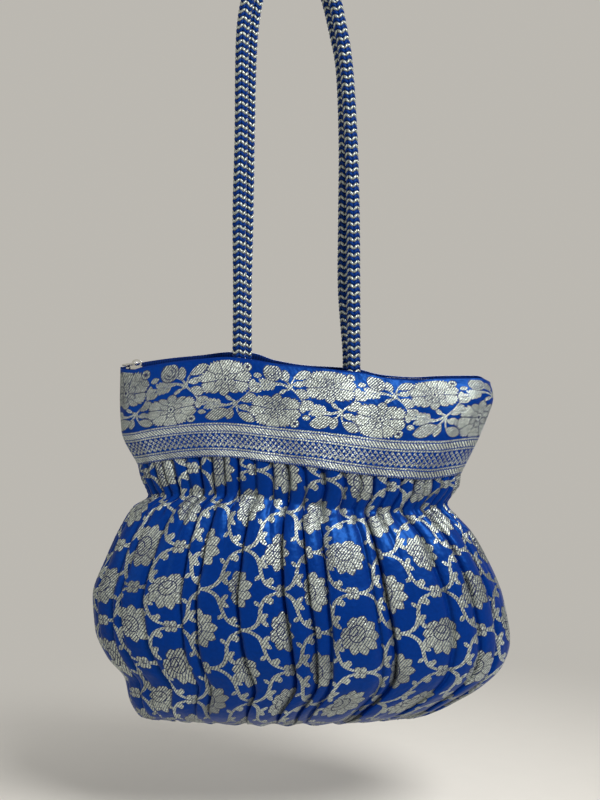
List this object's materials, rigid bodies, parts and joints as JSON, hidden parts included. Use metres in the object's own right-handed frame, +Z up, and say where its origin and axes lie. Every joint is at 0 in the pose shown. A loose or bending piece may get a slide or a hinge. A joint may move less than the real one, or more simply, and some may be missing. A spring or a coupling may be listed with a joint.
{
  "type": "gathered brocade handbag",
  "caption": "Gathered potli handbag in blue and silver brocade, with a flat border yoke, a zipped top and two braided cord handles.",
  "frame": {"origin": "underside of the two handles, where they pass over the hook that the bag hangs from", "axes": "+Z up as the bag hangs, front faces -Y, +X to the right seen from the front"},
  "size_m": [0.3717, 0.114, 0.7059],
  "materials": {
    "border_brocade": "silver thread brocade with a satin sheen",
    "pouch_brocade": "blue satin with silver thread figures",
    "lining_cloth": "matt plain weave",
    "zip_tape": "matt woven tape",
    "zip_coil": "satin nylon coil",
    "nickel": "polished nickel plate",
    "braid": "braided cord, blue and silver",
    "elastic": "matt knitted elastic"
  },
  "bodies": {
    "bag": {"yoke_front": "border_brocade", "yoke_back": "border_brocade", "body_front": "pouch_brocade", "body_back": "pouch_brocade", "waist_elastic": "elastic", "lining": "lining_cloth", "zip_tape_front": "zip_tape", "zip_tape_back": "zip_tape", "zip_coil_front": "zip_coil", "zip_coil_back": "zip_coil", "zip_stop_left": "nickel", "zip_stop_right": "nickel", "handle_front": "braid", "handle_back": "braid"},
    "slider": {"zip_slider": "nickel"},
    "pull": {"zip_pull": "nickel"}
  },
  "joints": [
    {"name": "zip_slide", "type": "slide", "parent": "bag", "child": "slider", "axis": [0.9992, 0, -0.0392], "range_m": [0, 0.298]},
    {"name": "zip_pull_hinge", "type": "hinge", "parent": "slider", "child": "pull", "pos_m": [-0.13868, 0, -0.36736], "axis": [0, 1, 0], "range_deg": [0, 200]}
  ]
}
